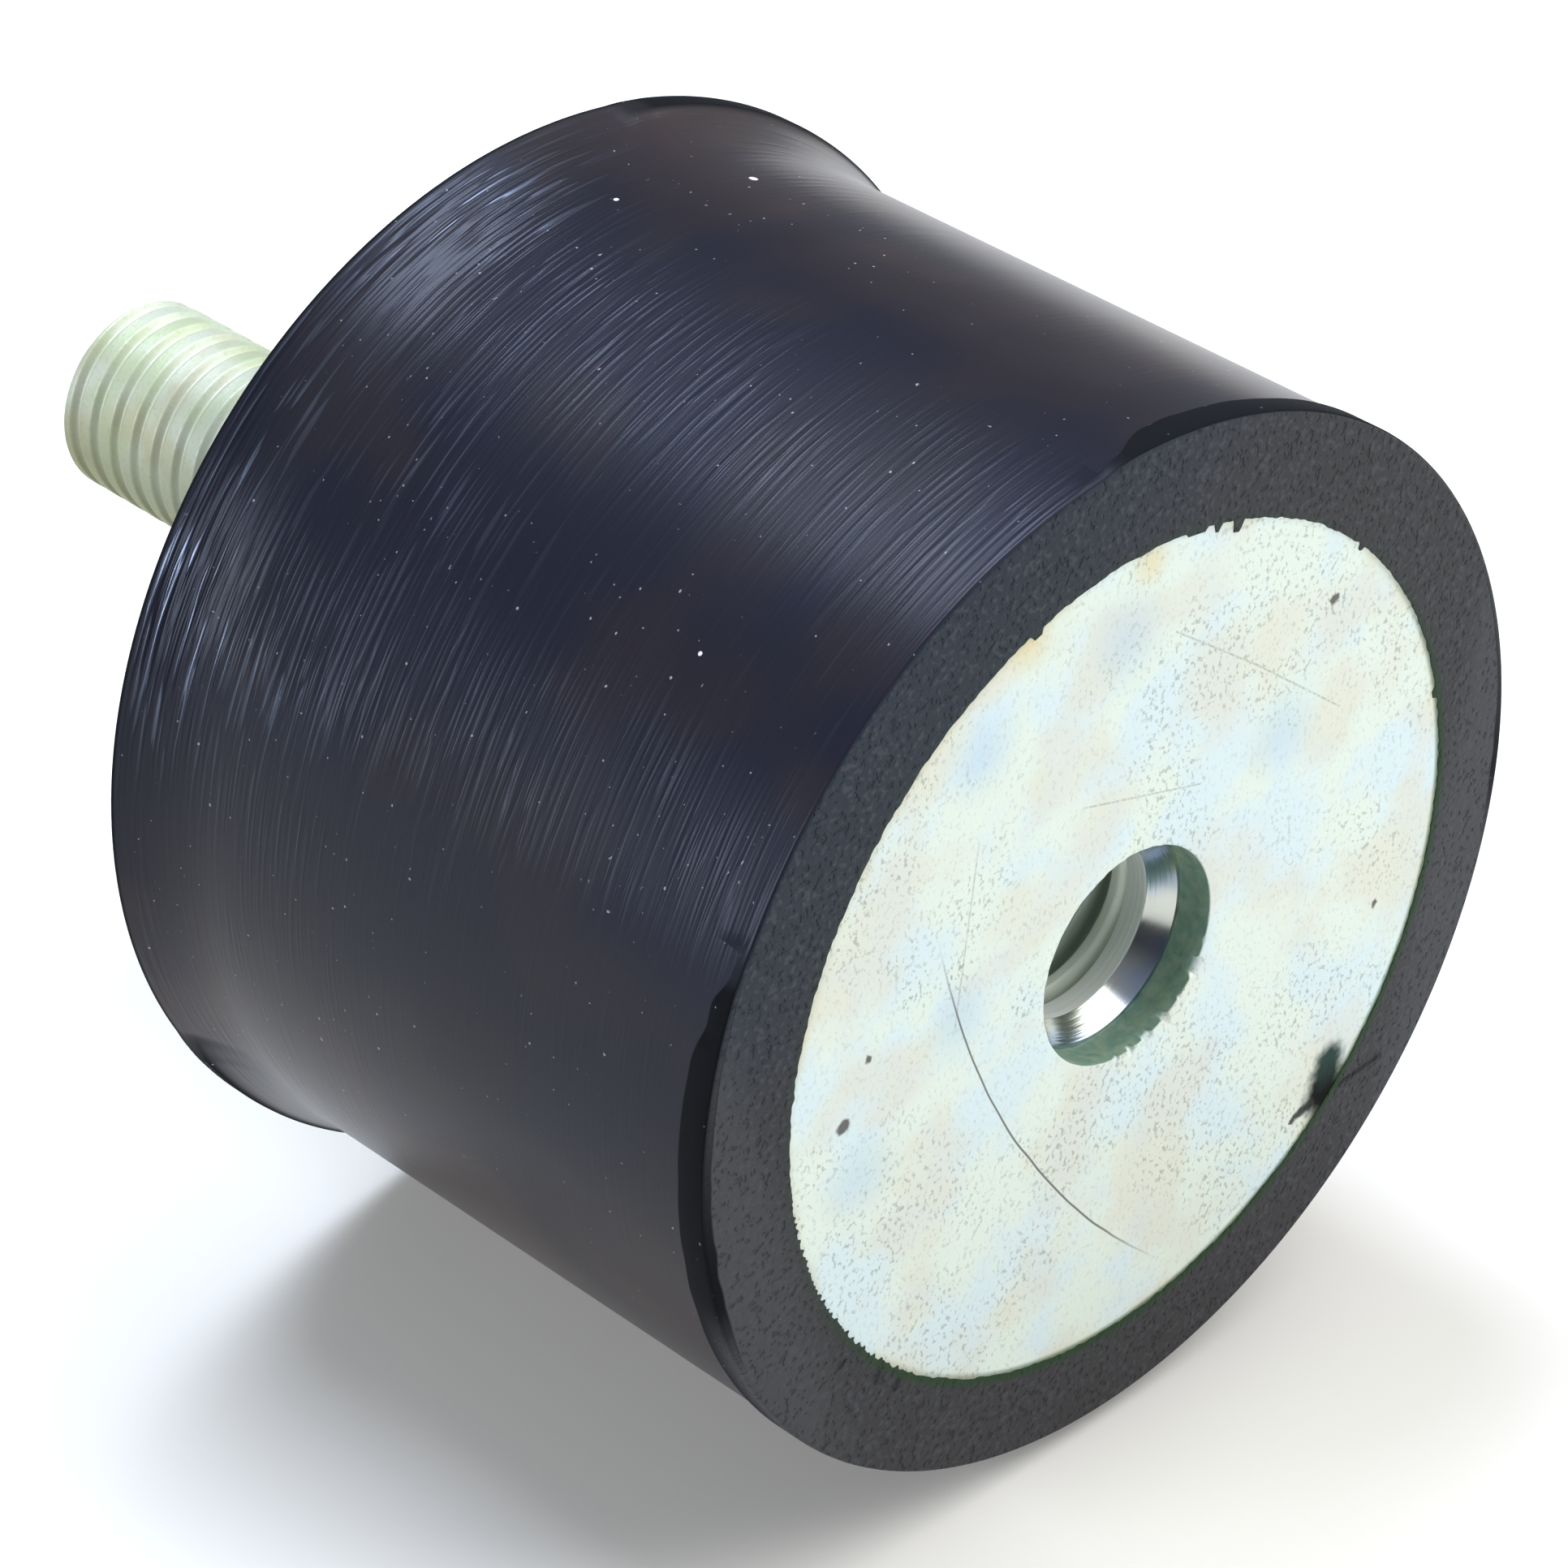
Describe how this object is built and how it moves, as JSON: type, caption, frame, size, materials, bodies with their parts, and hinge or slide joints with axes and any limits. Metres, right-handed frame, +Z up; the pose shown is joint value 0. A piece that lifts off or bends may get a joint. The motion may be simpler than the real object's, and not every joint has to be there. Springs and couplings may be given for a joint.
{
  "type": "rubber bump stop",
  "caption": "Cylindrical rubber bump stop with a flush tapped steel plate in one end and a threaded stud in the other, for fixing to a frame and cushioning an impact.",
  "frame": {"origin": "centre of the stud end's seating face, where the stud leaves it", "axes": "+Y along the stud, out of its tip; the tapped face looks along -Y; +Z up, as fixed to an upright wall"},
  "size_m": [0.0418, 0.055, 0.0418],
  "materials": {
    "black_rubber": "ground matte with fine circumferential marks, as-moulded black on the land and lip",
    "plate_zinc": "pale zinc plating, satin, finely pitted",
    "bush_zinc": "bright turned zinc plating",
    "stud_zinc": "pale yellow-green zinc plating, satin"
  },
  "bodies": {
    "root": {"rubber_body": "black_rubber", "tapped_plate": "plate_zinc", "threaded_bush": "bush_zinc", "stud_plate": "plate_zinc", "stud": "stud_zinc"}
  },
  "joints": []
}
